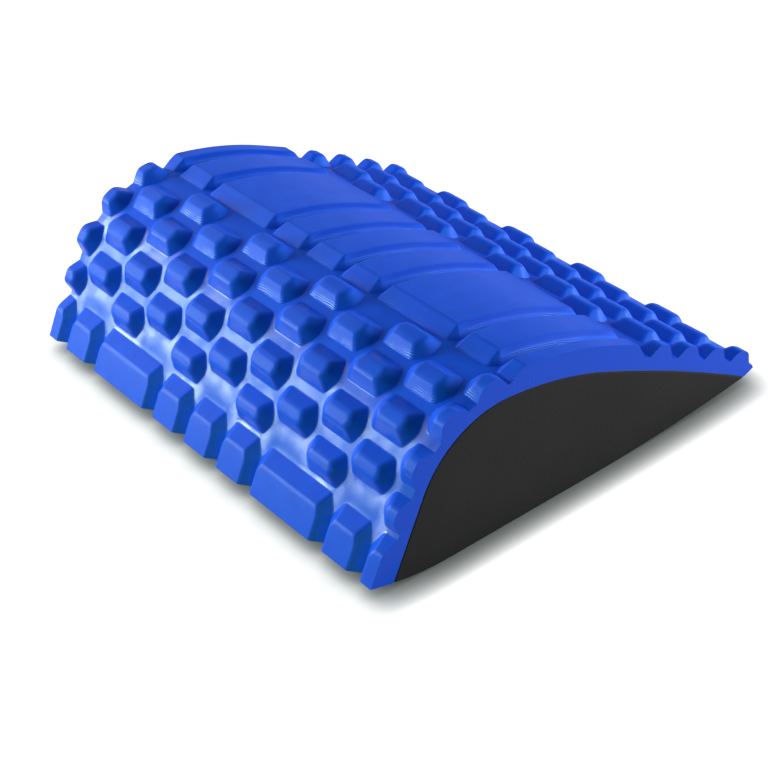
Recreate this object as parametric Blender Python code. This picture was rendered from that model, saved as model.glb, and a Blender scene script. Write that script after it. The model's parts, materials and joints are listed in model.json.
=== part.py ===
"""Arched foam back stretcher: a black foam core, a film of glue and a moulded blue tread cover.

The cover is moulded flat, so it is modelled flat: a sheet that carries rows of six-sided
blocks, long ribs over the crown and bars along the steep end. It is then trimmed and bent over
the core, as the real one is. Lengths are metres, +Z is up, +X runs along the body from the
steep end to the thin tip, +Y runs across it, and the origin is under the middle.
"""
import bmesh
import bpy
from math import cos, radians, sin, sqrt
from mathutils import Vector
from mathutils.geometry import delaunay_2d_cdt

WIDTH = 0.302

# The tread's grid, across the body and along the developed cover
COLUMN_PITCH = 0.0305
EDGE_COLUMN = 5
ROW_PITCH = 0.0122
ROWS_A_SIDE = 7
FIRST_STEEP_ROW = 0.0364
FIRST_TAIL_ROW = 0.2332

# The sheet and what stands on it
SHEET_THICKNESS = 0.0082
TREAD_HEIGHT = 0.0061
BLOCK_HALF_LENGTH = 0.0097
BLOCK_HALF_EDGE = 0.0116
BLOCK_HALF_WIDTH = 0.0171
RIB_START = 0.1207
RIB_END = 0.2190
BAR_END = 0.0244
LONG_SIDE_RUN = 0.0052
LONG_END_RUN = 0.0088
LONG_HALF_EDGE = 0.0100
LONG_CORNER = 0.0097
NARROW_COLUMNS = ((-5, -5), (-4, -4), (-1, -1), (0, 0), (1, 1), (4, 4), (5, 5))
WIDE_COLUMNS = ((-3, -2), (2, 3))

# The arch, along the glue line: a straight steep face and three arcs
TOE_X = -0.12355
TOE_Z = 0.0045
STEEP_ANGLE = radians(64.6)
STEEP_LENGTH = 0.0470
ARCS = (  # radius, angle at which the arc ends, number of facets
    (0.0563, radians(-4.1), 8),
    (0.2097, radians(-22.8), 5),
    (1.0450, radians(-29.7), 4),
)

# The glue line
FILM_HALF_THICKNESS = 0.0002
GLUE_HALF_GAP = 0.0005

# The underside, which is flat in the middle and curls up to both ends
FLAT_START = -0.0868
FLAT_END = 0.0078
FRONT_FACETS = 5
REAR_FACETS = 8

# How the two ends of the cover are cut: lean per unit of height, and the tip's chamfer
TOE_LEAN = 0.19
TIP_LEAN = 0.70
TIP_CHAMFER_START = 0.0030
TIP_CHAMFER_SLOPE = 1.0
OVERSIZE = 0.012

NEUTRAL_FIBRE = GLUE_HALF_GAP + SHEET_THICKNESS / 2
SHEET_TOP = GLUE_HALF_GAP + SHEET_THICKNESS
MERGE = 1e-6


def clear_scene():
    """Remove whatever the scene holds."""
    for thing in list(bpy.data.objects):
        bpy.data.objects.remove(thing, do_unlink=True)


def make_material(name, color, roughness):
    """A plain foam material."""
    material = bpy.data.materials.new(name)
    material.use_nodes = True
    shader = material.node_tree.nodes["Principled BSDF"]
    shader.inputs["Base Color"].default_value = (*color, 1.0)
    shader.inputs["Roughness"].default_value = roughness
    shader.inputs["Metallic"].default_value = 0.0
    return material


def add_object(name, mesh_builder, material, parent):
    """Turn a bmesh into a named object under the parent."""
    bmesh.ops.recalc_face_normals(mesh_builder, faces=mesh_builder.faces)
    mesh = bpy.data.meshes.new(name)
    mesh_builder.to_mesh(mesh)
    mesh_builder.free()
    mesh.materials.append(material)
    thing = bpy.data.objects.new(name, mesh)
    thing.parent = parent
    bpy.context.scene.collection.objects.link(thing)
    return thing


def arch_stretches():
    """The arch's stretches as (developed start, start x, start z, start angle, radius)."""
    stretches = [(0.0, TOE_X, TOE_Z, STEEP_ANGLE, None)]
    along = STEEP_LENGTH
    x = TOE_X + STEEP_LENGTH * cos(STEEP_ANGLE)
    z = TOE_Z + STEEP_LENGTH * sin(STEEP_ANGLE)
    angle = STEEP_ANGLE
    for radius, end_angle, _facets in ARCS:
        stretches.append((along, x, z, angle, radius))
        along += (radius + NEUTRAL_FIBRE) * (angle - end_angle)
        x += radius * (sin(angle) - sin(end_angle))
        z += radius * (cos(end_angle) - cos(angle))
        angle = end_angle
    return stretches, along


STRETCHES, DEVELOPED_LENGTH = arch_stretches()


def on_arch(along, above):
    """The x and z of a point at a developed length along the glue line and a height above it."""
    start, x, z, angle, radius = STRETCHES[0]
    for stretch in STRETCHES[1:]:
        if along > stretch[0]:
            start, x, z, angle, radius = stretch
    if radius is None:
        run = along - start
        return (x + run * cos(angle) - above * sin(angle),
                z + run * sin(angle) + above * cos(angle))
    turned = angle - (along - start) / (radius + NEUTRAL_FIBRE)
    return (x + radius * sin(angle) - (radius + above) * sin(turned),
            z - radius * cos(angle) + (radius + above) * cos(turned))


def arch_stations():
    """Developed lengths at which every piece has a corner, so that their facets match."""
    stations = [0.0]
    ends = [stretch[0] for stretch in STRETCHES[1:]] + [DEVELOPED_LENGTH]
    for (_radius, _end, facets), start, end in zip(ARCS, ends, ends[1:]):
        step = (end - start) / facets
        stations += [start + step * count for count in range(facets)]
    return stations + [DEVELOPED_LENGTH]


def rocker(start_x, end_x, height, facets):
    """Points of an arc that leaves the flat level at start_x and reaches height at end_x."""
    reach = end_x - start_x
    radius = (reach * reach + height * height) / (2 * height)
    points = []
    for count in range(facets + 1):
        run = reach * count / facets
        points.append((start_x + run, radius - sqrt(radius * radius - run * run)))
    return points


def prism(outline):
    """A closed solid of an x-z outline, across the full width."""
    builder = bmesh.new()
    near = [builder.verts.new((x, -WIDTH / 2, z)) for x, z in outline]
    face = builder.faces.new(near)
    grown = bmesh.ops.extrude_face_region(builder, geom=[face])
    moved = [item for item in grown["geom"] if isinstance(item, bmesh.types.BMVert)]
    bmesh.ops.translate(builder, verts=moved, vec=(0.0, WIDTH, 0.0))
    return builder


def build_core(material, parent):
    """The black foam block, from its arched top to its slightly curled underside."""
    top = [on_arch(along, -GLUE_HALF_GAP) for along in arch_stations()]
    front = rocker(FLAT_START, top[0][0], top[0][1], FRONT_FACETS)
    rear = rocker(FLAT_END, top[-1][0], top[-1][1], REAR_FACETS)
    outline = top + rear[-2::-1] + front[:-1]
    return add_object("foam_core", prism(outline), material, parent)


def build_film(material, parent):
    """The film of contact glue between core and cover."""
    stations = arch_stations()
    upper = [on_arch(along, FILM_HALF_THICKNESS) for along in stations]
    lower = [on_arch(along, -FILM_HALF_THICKNESS) for along in stations]
    return add_object("glue_film", prism(upper + lower[::-1]), material, parent)


def block_outline(column, middle):
    """The six corners of a block's foot."""
    centre = column * COLUMN_PITCH
    return [
        (middle - BLOCK_HALF_LENGTH, centre - BLOCK_HALF_EDGE),
        (middle, centre - BLOCK_HALF_WIDTH),
        (middle + BLOCK_HALF_LENGTH, centre - BLOCK_HALF_EDGE),
        (middle + BLOCK_HALF_LENGTH, centre + BLOCK_HALF_EDGE),
        (middle, centre + BLOCK_HALF_WIDTH),
        (middle - BLOCK_HALF_LENGTH, centre + BLOCK_HALF_EDGE),
    ]


def long_outline(first, last, start, end):
    """The eight corners of the foot of a rib or bar that spans the columns first to last."""
    left, right = first * COLUMN_PITCH, last * COLUMN_PITCH
    half_pitch = COLUMN_PITCH / 2
    return [
        (start, left - LONG_HALF_EDGE),
        (start + LONG_CORNER, left - half_pitch),
        (end - LONG_CORNER, left - half_pitch),
        (end, left - LONG_HALF_EDGE),
        (end, right + LONG_HALF_EDGE),
        (end - LONG_CORNER, right + half_pitch),
        (start + LONG_CORNER, right + half_pitch),
        (start, right + LONG_HALF_EDGE),
    ]


def block_outlines():
    """Seven staggered rows of blocks on each side of the ribs, odd and even columns in turn."""
    outlines = []
    for first_row in (FIRST_STEEP_ROW, FIRST_TAIL_ROW):
        for row in range(ROWS_A_SIDE):
            middle = first_row + row * ROW_PITCH
            first_column = -EDGE_COLUMN if row % 2 == 0 else 1 - EDGE_COLUMN
            for column in range(first_column, EDGE_COLUMN + 1, 2):
                outlines.append(block_outline(column, middle))
    return outlines


def long_outlines():
    """The bars along the steep end's foot and the ribs over the crown."""
    outlines = []
    for start, end in ((-OVERSIZE - LONG_CORNER, BAR_END), (RIB_START, RIB_END)):
        for first, last in NARROW_COLUMNS + WIDE_COLUMNS:
            outlines.append(long_outline(first, last, start, end))
    return outlines


def flat_sheet(outlines):
    """The flat cover's top face, with one face for each outline and triangles between them."""
    reach_y = WIDTH / 2 + COLUMN_PITCH
    start, end = -2 * OVERSIZE - LONG_CORNER, DEVELOPED_LENGTH + 2 * OVERSIZE
    border = [(start, -reach_y), (end, -reach_y), (end, reach_y), (start, reach_y)]
    points, loops = [], []
    for loop in outlines + [border]:
        loops.append(list(range(len(points), len(points) + len(loop))))
        points += [Vector(corner) for corner in loop]
    flat, _edges, faces, sources, _edge_sources, face_sources = delaunay_2d_cdt(
        points, [], loops, 1, MERGE)
    builder = bmesh.new()
    verts = [builder.verts.new((corner.x, corner.y, SHEET_TOP)) for corner in flat]
    vert_of = {source: verts[index] for index, group in enumerate(sources) for source in group}
    border_index = len(outlines)
    for face, owners in zip(faces, face_sources):
        if all(owner == border_index for owner in owners):
            builder.faces.new([verts[index] for index in face])
    raised = [builder.faces.new([vert_of[index] for index in loop]) for loop in loops[:-1]]
    builder.normal_update()
    return builder, raised


def raise_treads(builder, blocks, longs):
    """Raise each block, rib and bar from its foot with sloping sides."""
    bmesh.ops.inset_individual(builder, faces=blocks, thickness=TREAD_HEIGHT,
                               depth=TREAD_HEIGHT, use_even_offset=True)
    bmesh.ops.inset_individual(builder, faces=longs, thickness=LONG_SIDE_RUN,
                               depth=TREAD_HEIGHT, use_even_offset=True)
    for face in longs:
        ends = [vert.co.x for vert in face.verts]
        low, high = min(ends), max(ends)
        for vert in face.verts:
            if vert.co.x - low < MERGE:
                vert.co.x += LONG_END_RUN - LONG_SIDE_RUN
            elif high - vert.co.x < MERGE:
                vert.co.x -= LONG_END_RUN - LONG_SIDE_RUN


def close_sheet(builder):
    """Give the top face its thickness and a flat back."""
    rim = [edge for edge in builder.edges if edge.is_boundary]
    grown = bmesh.ops.extrude_edge_only(builder, edges=rim)
    back = [item for item in grown["geom"] if isinstance(item, bmesh.types.BMVert)]
    for vert in back:
        vert.co.z = GLUE_HALF_GAP
    back_rim = [edge for edge in builder.edges if edge.is_boundary]
    bmesh.ops.contextual_create(builder, geom=back_rim)


def trim(builder, point, normal):
    """Cut away what lies on the normal's side of a plane, and cap the cut."""
    everything = builder.verts[:] + builder.edges[:] + builder.faces[:]
    cut = bmesh.ops.bisect_plane(builder, geom=everything, dist=MERGE, plane_co=point,
                                 plane_no=normal, clear_outer=True)
    rim = [item for item in cut["geom_cut"] if isinstance(item, bmesh.types.BMEdge)]
    bmesh.ops.contextual_create(builder, geom=rim)


def trim_cover(builder):
    """Cut the oversize sheet to width, and cut its two ends to their angles."""
    trim(builder, (0.0, WIDTH / 2, 0.0), (0.0, 1.0, 0.0))
    trim(builder, (0.0, -WIDTH / 2, 0.0), (0.0, -1.0, 0.0))
    trim(builder, (0.0, 0.0, GLUE_HALF_GAP), (-1.0, 0.0, -TOE_LEAN))
    trim(builder, (DEVELOPED_LENGTH, 0.0, GLUE_HALF_GAP), (1.0, 0.0, -TIP_LEAN))
    trim(builder, (DEVELOPED_LENGTH + TIP_CHAMFER_START, 0.0, SHEET_TOP),
         (1.0, 0.0, TIP_CHAMFER_SLOPE))


def bend(builder):
    """Split the flat cover at the stations and wrap it over the arch."""
    for station in arch_stations()[1:-1]:
        everything = builder.verts[:] + builder.edges[:] + builder.faces[:]
        bmesh.ops.bisect_plane(builder, geom=everything, dist=MERGE,
                               plane_co=(station, 0.0, 0.0), plane_no=(1.0, 0.0, 0.0))
    bmesh.ops.triangulate(builder, faces=builder.faces[:])
    for vert in builder.verts:
        x, z = on_arch(vert.co.x, vert.co.z)
        vert.co = (x, vert.co.y, z)


def build_cover(material, parent):
    """The blue tread cover: laid out flat, raised, trimmed and bent."""
    blocks, longs = block_outlines(), long_outlines()
    builder, raised = flat_sheet(blocks + longs)
    raise_treads(builder, raised[:len(blocks)], raised[len(blocks):])
    close_sheet(builder)
    trim_cover(builder)
    bend(builder)
    return add_object("tread_cover", builder, material, parent)


def build():
    """Build the three pieces under one empty."""
    clear_scene()
    parent = bpy.data.objects.new("back_stretcher", None)
    bpy.context.scene.collection.objects.link(parent)
    build_core(make_material("black_foam", (0.025, 0.025, 0.028), 0.85), parent)
    build_film(make_material("dried_glue", (0.012, 0.012, 0.014), 0.6), parent)
    build_cover(make_material("blue_foam", (0.035, 0.110, 0.620), 0.45), parent)


build()
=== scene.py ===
"""Looks of an arched foam back stretcher: a moulded blue tread cover on a black foam core.

The cover is laid out flat, as its mould makes it, and then bent over the arch: Geometry Nodes set
the blocks, ribs and bars on the sheet, unite them with it, cut the sheet to size and bend it.
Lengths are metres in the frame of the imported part: +X runs from the steep end to the thin tip,
+Y across the body and +Z up. On the flat cover, x runs up from the toe and z is measured from the
sheet's neutral fibre.
"""
from __future__ import annotations

import json
import logging
import math
from dataclasses import dataclass
from enum import Enum
from functools import cache

import bmesh
import bpy
from mathutils import Matrix, Vector

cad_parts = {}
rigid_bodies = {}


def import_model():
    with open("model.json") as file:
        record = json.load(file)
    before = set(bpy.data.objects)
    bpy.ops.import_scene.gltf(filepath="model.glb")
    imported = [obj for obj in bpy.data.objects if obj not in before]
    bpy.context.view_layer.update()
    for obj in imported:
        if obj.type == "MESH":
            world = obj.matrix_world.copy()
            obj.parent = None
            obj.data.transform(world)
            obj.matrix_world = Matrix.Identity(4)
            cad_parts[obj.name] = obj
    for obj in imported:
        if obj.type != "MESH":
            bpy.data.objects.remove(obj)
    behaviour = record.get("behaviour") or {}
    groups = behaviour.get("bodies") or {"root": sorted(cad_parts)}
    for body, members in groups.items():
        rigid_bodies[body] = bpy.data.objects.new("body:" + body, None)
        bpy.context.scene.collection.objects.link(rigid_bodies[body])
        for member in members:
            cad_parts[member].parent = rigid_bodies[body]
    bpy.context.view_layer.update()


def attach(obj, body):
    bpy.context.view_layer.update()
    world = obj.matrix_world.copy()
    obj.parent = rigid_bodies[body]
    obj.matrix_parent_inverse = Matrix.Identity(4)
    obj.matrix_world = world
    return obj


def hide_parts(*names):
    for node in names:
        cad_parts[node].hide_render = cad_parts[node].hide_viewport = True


LOG = logging.getLogger("back_stretcher")
BODY = "root"
HEIGHT_ATTRIBUTE = "tread_height"
LOW_FACING = "low_facing"
FAR_FACING = "far_facing"
LAYOUT_MAP = "layout"
# The places of a Mix node's colour sockets, as sockets of other types have the same names.
MIX_FIRST, MIX_SECOND, MIX_RESULT = 6, 7, 2

Point = tuple[float, float]
Color = tuple[float, float, float]
Stops = tuple[float, ...]
Socket = bpy.types.NodeSocket


class Graph:
    """A node tree that is written from left to right, one call for each node."""

    def __init__(self, tree: bpy.types.NodeTree) -> None:
        """Take the tree to write in."""
        self.tree = tree

    def add(self, kind: str, inputs: dict[str | int, object] | None = None,
            **settings: object) -> bpy.types.Node:
        """Add a node.

        Args:
            kind: The node's type name.
            inputs: A value or a socket for each named or numbered input.
            **settings: The node's own properties.

        Returns:
            The new node.
        """
        node = self.tree.nodes.new(kind)
        for name, value in settings.items():
            setattr(node, name, value)
        for name, value in (inputs or {}).items():
            self.feed(node.inputs[name], value)
        return node

    def feed(self, socket: Socket, value: object) -> None:
        """Link an input to a socket, or to each of several sockets, or set its value.

        Args:
            socket: The input.
            value: A socket, a list of sockets or a plain value.
        """
        if isinstance(value, Socket):
            self.tree.links.new(value, socket)
        elif isinstance(value, list):
            for each in value:
                self.tree.links.new(each, socket)
        else:
            socket.default_value = value

    def math(self, operation: str, *values: object) -> Socket:
        """Add a Math node, with a number or a socket for each input."""
        inputs = dict(enumerate(values))
        return self.add("ShaderNodeMath", inputs, operation=operation).outputs[0]

    def axes(self, vector: Socket) -> bpy.types.NodeOutputs:
        """Give the X, Y and Z of a vector."""
        return self.add("ShaderNodeSeparateXYZ", {"Vector": vector}).outputs

    def vector(self, **parts: object) -> Socket:
        """Make a vector of its X, Y and Z, where 0 stands for one that isn't given."""
        return self.add("ShaderNodeCombineXYZ", parts).outputs[0]

    def noise(self, where: Socket, scale: object, detail: float = 2.0) -> Socket:
        """Add a noise texture, whose scale is a number or a socket."""
        inputs = {"Vector": where, "Scale": scale, "Detail": detail}
        return self.add("ShaderNodeTexNoise", inputs).outputs["Fac"]

    def mixed(self, share: Socket, first: object, second: Color) -> Socket:
        """Lay a share of a second colour over the first, which is a socket or has an alpha."""
        inputs = {"Factor": share, MIX_FIRST: first, MIX_SECOND: (*second, 1.0)}
        return self.add("ShaderNodeMix", inputs, data_type="RGBA").outputs[MIX_RESULT]

    def bump(self, height: Socket, distance: float, below: Socket | None = None) -> Socket:
        """Raise the surface's normal, or the one below, by a distance where the height is 1."""
        inputs = {"Height": height, "Distance": distance} | ({"Normal": below} if below else {})
        return self.add("ShaderNodeBump", inputs).outputs["Normal"]

    def remap(self, value: object, low: float, high: float, at_low: object,
              at_high: object) -> Socket:
        """Turn a range of values into another, with a smooth step between.

        Args:
            value: What is turned.
            low: Where the step starts.
            high: Where it ends.
            at_low: The result at and below low.
            at_high: The result at and above high.

        Returns:
            The result's socket.
        """
        inputs = {"Value": value, "From Min": low, "From Max": high, "To Min": at_low,
                  "To Max": at_high}
        node = self.add("ShaderNodeMapRange", inputs, interpolation_type="SMOOTHSTEP")
        return node.outputs["Result"]

    def window(self, value: object, stops: Stops, inside: object) -> Socket:
        """Give a result between the inner two of four stops, fading to 0 at the outer two."""
        begin, full, fade, end = stops
        return self.remap(value, fade, end, self.remap(value, begin, full, 0.0, inside), 0.0)


def new_group(name: str, kind: str, inputs: dict[str, float | str], outputs: dict[str, str]
              ) -> tuple[Graph, bpy.types.NodeOutputs, bpy.types.NodeInputs]:
    """Start a node group with named sockets.

    Args:
        name: The group's name.
        kind: GeometryNodeTree or ShaderNodeTree.
        inputs: The default of each number, and the socket type of any other input.
        outputs: The socket type of each output.

    Returns:
        The graph, what the group is given and what it puts out.
    """
    tree = bpy.data.node_groups.new(name, kind)
    for label, given in inputs.items():
        socket_type = given if isinstance(given, str) else "NodeSocketFloat"
        socket = tree.interface.new_socket(label, in_out="INPUT", socket_type=socket_type)
        if not isinstance(given, str):
            socket.default_value = given
    for label, socket_type in outputs.items():
        tree.interface.new_socket(label, in_out="OUTPUT", socket_type=socket_type)
    graph = Graph(tree)
    return graph, graph.add("NodeGroupInput").outputs, graph.add("NodeGroupOutput").inputs


def new_material(name: str, constants: dict[str, object]
                 ) -> tuple[bpy.types.Material, Graph, bpy.types.NodeInputs]:
    """Start a material.

    Args:
        name: Its name.
        constants: What its shader has all over.

    Returns:
        The material, its graph and its Principled shader's inputs.
    """
    material = bpy.data.materials.new(name)
    material.use_nodes = True
    shader = material.node_tree.nodes["Principled BSDF"].inputs
    for label, value in constants.items():
        shader[label].default_value = value
    return material, Graph(material.node_tree), shader


def shown(name: str, data: bpy.types.ID) -> bpy.types.Object:
    """Add an object to the scene.

    Args:
        name: Its name.
        data: Its mesh, light or camera.

    Returns:
        The object.
    """
    thing = bpy.data.objects.new(name, data)
    bpy.context.scene.collection.objects.link(thing)
    return thing


def closed_mesh(name: str, builder: bmesh.types.BMesh) -> bpy.types.Mesh:
    """Turn a closed surface into a mesh whose faces point outwards.

    Args:
        name: The mesh's name.
        builder: The surface, which is freed.

    Returns:
        The mesh.
    """
    bmesh.ops.recalc_face_normals(builder, faces=builder.faces)
    mesh = bpy.data.meshes.new(name)
    builder.to_mesh(mesh)
    builder.free()
    return mesh


@dataclass(frozen=True)
class Arch:
    """The curve of the glue line, which the core, the glue and the cover all follow."""

    toe: Point = (-0.12355, 0.0045)
    steep_angle: float = math.radians(64.6)
    steep_length: float = 0.0470
    radii: Stops = (0.0563, 0.2097, 1.0450)
    end_angles: Stops = (math.radians(-4.1), math.radians(-22.8), math.radians(-29.7))
    neutral: float = 0.0046
    step: float = 0.0020

    def bends(self) -> list[Point]:
        """Give the arcs along the neutral fibre.

        Returns:
            A length and an angle for each arc, from the toe up.
        """
        start_angles = (self.steep_angle, *self.end_angles[:-1])
        turns = [start - end for start, end in zip(start_angles, self.end_angles)]
        return [((radius + self.neutral) * turn, turn) for radius, turn in zip(self.radii, turns)]

    def length(self) -> float:
        """Give the developed length of the whole curve."""
        return self.steep_length + sum(length for length, _turn in self.bends())

    def place(self) -> Vector:
        """Give where the origin of the flat layout goes."""
        sine, cosine = math.sin(self.steep_angle), math.cos(self.steep_angle)
        return Vector((self.toe[0] - self.neutral * sine, 0.0, self.toe[1] + self.neutral * cosine))

    def outline(self, above: float) -> list[Point]:
        """Give the points of a curve that runs level with the glue line.

        Args:
            above: How far above the glue line it runs.

        Returns:
            Its x and z, from the toe to the tip, at most a step apart on the arcs.
        """
        angle = self.steep_angle
        x = self.toe[0] - above * math.sin(angle)
        z = self.toe[1] + above * math.cos(angle)
        points = [(x, z)]
        x += self.steep_length * math.cos(angle)
        z += self.steep_length * math.sin(angle)
        points.append((x, z))
        for radius, end_angle in zip(self.radii, self.end_angles):
            reach = radius + above
            count = math.ceil(reach * (angle - end_angle) / self.step)
            centre = (x + reach * math.sin(angle), z - reach * math.cos(angle))
            for index in range(1, count + 1):
                turned = angle + (end_angle - angle) * index / count
                points.append((centre[0] - reach * math.sin(turned),
                               centre[1] + reach * math.cos(turned)))
            angle = end_angle
            x, z = points[-1]
        return points


@cache
def foam_grain() -> bpy.types.NodeTree:
    """Build the shader group for the fine cells of a foam and its cloudy colour, once.

    Returns:
        The group's tree.
    """
    cloud_edges = (0.3, 0.7)
    graph, given, out = new_group(
        "Foam Grain", "ShaderNodeTree",
        {"Vector": "NodeSocketVector", "Grain Size": 0.001, "Cloud Size": 0.05},
        {"Height": "NodeSocketFloat", "Cloud": "NodeSocketFloat"})
    where = given["Vector"]
    fine, coarse = [graph.math("DIVIDE", 1.0, given[size]) for size in ("Grain Size", "Cloud Size")]
    cells = graph.add("ShaderNodeTexVoronoi", {"Vector": where, "Scale": fine}, feature="SMOOTH_F1")
    speckle = graph.noise(where, fine, detail=3.0)
    graph.feed(out["Height"], graph.math("MULTIPLY", cells.outputs["Distance"], speckle))
    cloud = graph.noise(where, coarse, detail=4.0)
    graph.feed(out["Cloud"], graph.remap(cloud, *cloud_edges, 0.0, 1.0))
    return graph.tree


@cache
def tool_lines() -> bpy.types.NodeTree:
    """Build the shader group for the wavy lines that a cutter leaves, once.

    Returns:
        The group's tree.
    """
    graph, given, out = new_group(
        "Tool Lines", "ShaderNodeTree",
        {"Vector": "NodeSocketVector", "Along": 0.0, "Spacing": 0.001, "Wobble": 0.5,
         "Wobble Size": 0.01},
        {"Height": "NodeSocketFloat"})
    wobble = graph.noise(given["Vector"], graph.math("DIVIDE", 1.0, given["Wobble Size"]))
    turns = graph.math("DIVIDE", given["Along"], given["Spacing"])
    shifted = graph.math("MULTIPLY_ADD", wobble, given["Wobble"], turns)
    wave = graph.math("SINE", graph.math("MULTIPLY", shifted, 2.0 * math.pi))
    graph.feed(out["Height"], graph.math("MULTIPLY_ADD", wave, 0.5, 0.5))
    return graph.tree


@dataclass(frozen=True)
class FoamFinish:
    """A plain finish of foam or glue: two clouded colours under a fine grain."""

    name: str
    slot: str
    color: Color
    second_color: Color
    roughness: float
    grain_size: float
    grain_depth: float
    cloud_size: float = 0.05
    specular: float = 0.5

    def start(self) -> tuple[bpy.types.Material, Graph, bpy.types.NodeInputs]:
        """Start the material with what it has all over."""
        constants = {"Roughness": self.roughness, "Specular IOR Level": self.specular}
        return new_material(self.name, constants)

    def grain(self, graph: Graph, where: Socket) -> bpy.types.NodeOutputs:
        """Add the shared foam grain, whose outputs are Height and Cloud, at some coordinates."""
        inputs = {"Vector": where, "Grain Size": self.grain_size, "Cloud Size": self.cloud_size}
        return graph.add("ShaderNodeGroup", inputs, node_tree=foam_grain()).outputs

    def clouded(self, graph: Graph, cloud: Socket) -> Socket:
        """Mix the finish's two colours, by the clouds' share of the second."""
        return graph.mixed(cloud, (*self.color, 1.0), self.second_color)

    def under_grain(self, graph: Graph, where: Socket) -> Socket | None:
        """Give the normal that the grain stands on, or None for the surface's own."""
        return None

    def material(self) -> bpy.types.Material:
        """Build the material, which reads Object coordinates.

        Returns:
            The material.
        """
        material, graph, shader = self.start()
        where = graph.add("ShaderNodeTexCoord").outputs["Object"]
        grain = self.grain(graph, where)
        graph.feed(shader["Base Color"], self.clouded(graph, grain["Cloud"]))
        below = self.under_grain(graph, where)
        graph.feed(shader["Normal"], graph.bump(grain["Height"], self.grain_depth, below))
        return material


@dataclass(frozen=True)
class ToolMarkedFoam(FoamFinish):
    """Matt foam with the fine lines that a blade or a cutter leaves."""

    line_spacing: float = 0.0032
    line_depth: float = 0.00003
    line_wobble: float = 0.8
    wobble_size: float = 0.05

    def tool_marks(self, graph: Graph, where: Socket, along: Socket) -> Socket:
        """Give the height of the shared wavy lines, which are spaced along one coordinate."""
        inputs = {"Vector": where, "Along": along, "Spacing": self.line_spacing,
                  "Wobble": self.line_wobble, "Wobble Size": self.wobble_size}
        return graph.add("ShaderNodeGroup", inputs, node_tree=tool_lines()).outputs["Height"]

    def under_grain(self, graph: Graph, where: Socket) -> Socket:
        """Give the normal with the blade's level lines."""
        marks = self.tool_marks(graph, where, graph.axes(where)["Z"])
        return graph.bump(marks, self.line_depth)


@dataclass(frozen=True)
class SkinReading:
    """What the blue skin's material reads at a point of the cover, and the graph it does so in."""

    graph: Graph
    where: Socket
    along: Socket
    height: Socket
    low: Socket
    high: Socket
    near: Socket
    far: Socket
    cut: Socket

    def step(self, places: Point, before: object, after: object) -> Socket:
        """Give one value below a pair of places along the cover, and another above it."""
        return self.graph.remap(self.along, *places, before, after)

    def stretch(self, places: Stops, inside: object) -> Socket:
        """Give a value along one stretch of the cover, and nothing elsewhere."""
        return self.graph.window(self.along, places, inside)

    def sides(self, places: Stops) -> Socket:
        """Give the share of what faces across, along one stretch of the cover."""
        return self.stretch(places, self.graph.math("MAXIMUM", self.near, self.far))


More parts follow.
